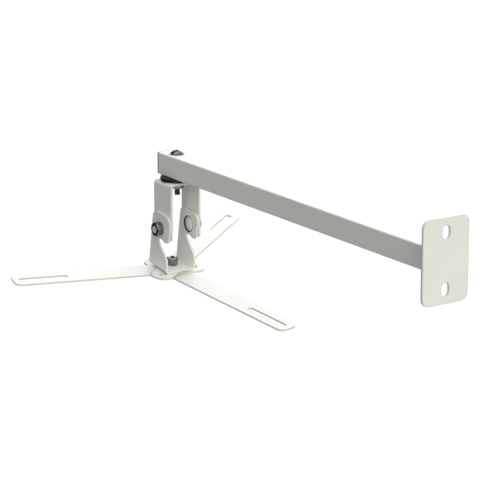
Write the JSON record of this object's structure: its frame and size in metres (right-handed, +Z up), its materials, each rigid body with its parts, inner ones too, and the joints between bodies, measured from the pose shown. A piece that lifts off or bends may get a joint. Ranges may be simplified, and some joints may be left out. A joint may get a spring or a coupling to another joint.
{
  "type": "projector wall arm",
  "caption": "Wall arm for a small projector: a wall plate and a long square tube carry a swivelling and tilting bracket head, with flat slotted arms that turn on one screw.",
  "frame": {"origin": "centre of the wall plate's wall side, on the tube's centre line", "axes": "+X along the tube, away from the wall; +Z up; +Y to the right of someone who faces the wall plate from the room"},
  "size_m": [0.6029, 0.3407, 0.197],
  "materials": {
    "white_powder_coat": "white powder coat, satin",
    "black_oxide_steel": "black oxide, slightly oily",
    "black_nylon": "moulded, low sheen",
    "zinc_plated_steel": "zinc plated"
  },
  "bodies": {
    "arm": {"wall_plate": "white_powder_coat", "tube_weld": "white_powder_coat", "arm_tube": "white_powder_coat", "tube_end_cap": "black_nylon", "crush_sleeve": "zinc_plated_steel", "swivel_bolt": "black_oxide_steel", "swivel_nut": "black_oxide_steel", "swivel_washer_upper": "black_nylon"},
    "swivel_head": {"upper_bracket": "white_powder_coat", "swivel_washer_lower": "black_nylon", "pivot_screw_left": "black_oxide_steel", "pivot_nut_left": "zinc_plated_steel", "pivot_bush_left": "black_nylon"},
    "tilt_head": {"lower_bracket": "white_powder_coat", "pivot_screw_right": "black_oxide_steel", "pivot_nut_right": "zinc_plated_steel", "pivot_bush_right": "black_nylon", "base_screw": "black_oxide_steel", "base_washer": "black_oxide_steel", "base_nut": "black_oxide_steel"},
    "top_arm": {"device_arm_top": "white_powder_coat"},
    "middle_arm": {"device_arm_middle": "white_powder_coat"},
    "bottom_arm": {"device_arm_bottom": "white_powder_coat"}
  },
  "joints": [
    {"name": "head_swivel", "type": "hinge", "parent": "arm", "child": "swivel_head", "pos_m": [0.48, 0, -0.017], "axis": [0, 0, 1], "continuous": true},
    {"name": "head_tilt", "type": "hinge", "parent": "swivel_head", "child": "tilt_head", "pos_m": [0.48, 0, -0.07], "axis": [0, 1, 0], "range_deg": [-11, 29]},
    {"name": "top_arm_turn", "type": "hinge", "parent": "tilt_head", "child": "top_arm", "pos_m": [0.48767, 0.003, -0.1184], "axis": [-0.1564, 0, 0.9877], "continuous": true},
    {"name": "middle_arm_turn", "type": "hinge", "parent": "tilt_head", "child": "middle_arm", "pos_m": [0.48767, 0.003, -0.1184], "axis": [-0.1564, 0, 0.9877], "continuous": true},
    {"name": "bottom_arm_turn", "type": "hinge", "parent": "tilt_head", "child": "bottom_arm", "pos_m": [0.48767, 0.003, -0.1184], "axis": [-0.1564, 0, 0.9877], "continuous": true}
  ]
}
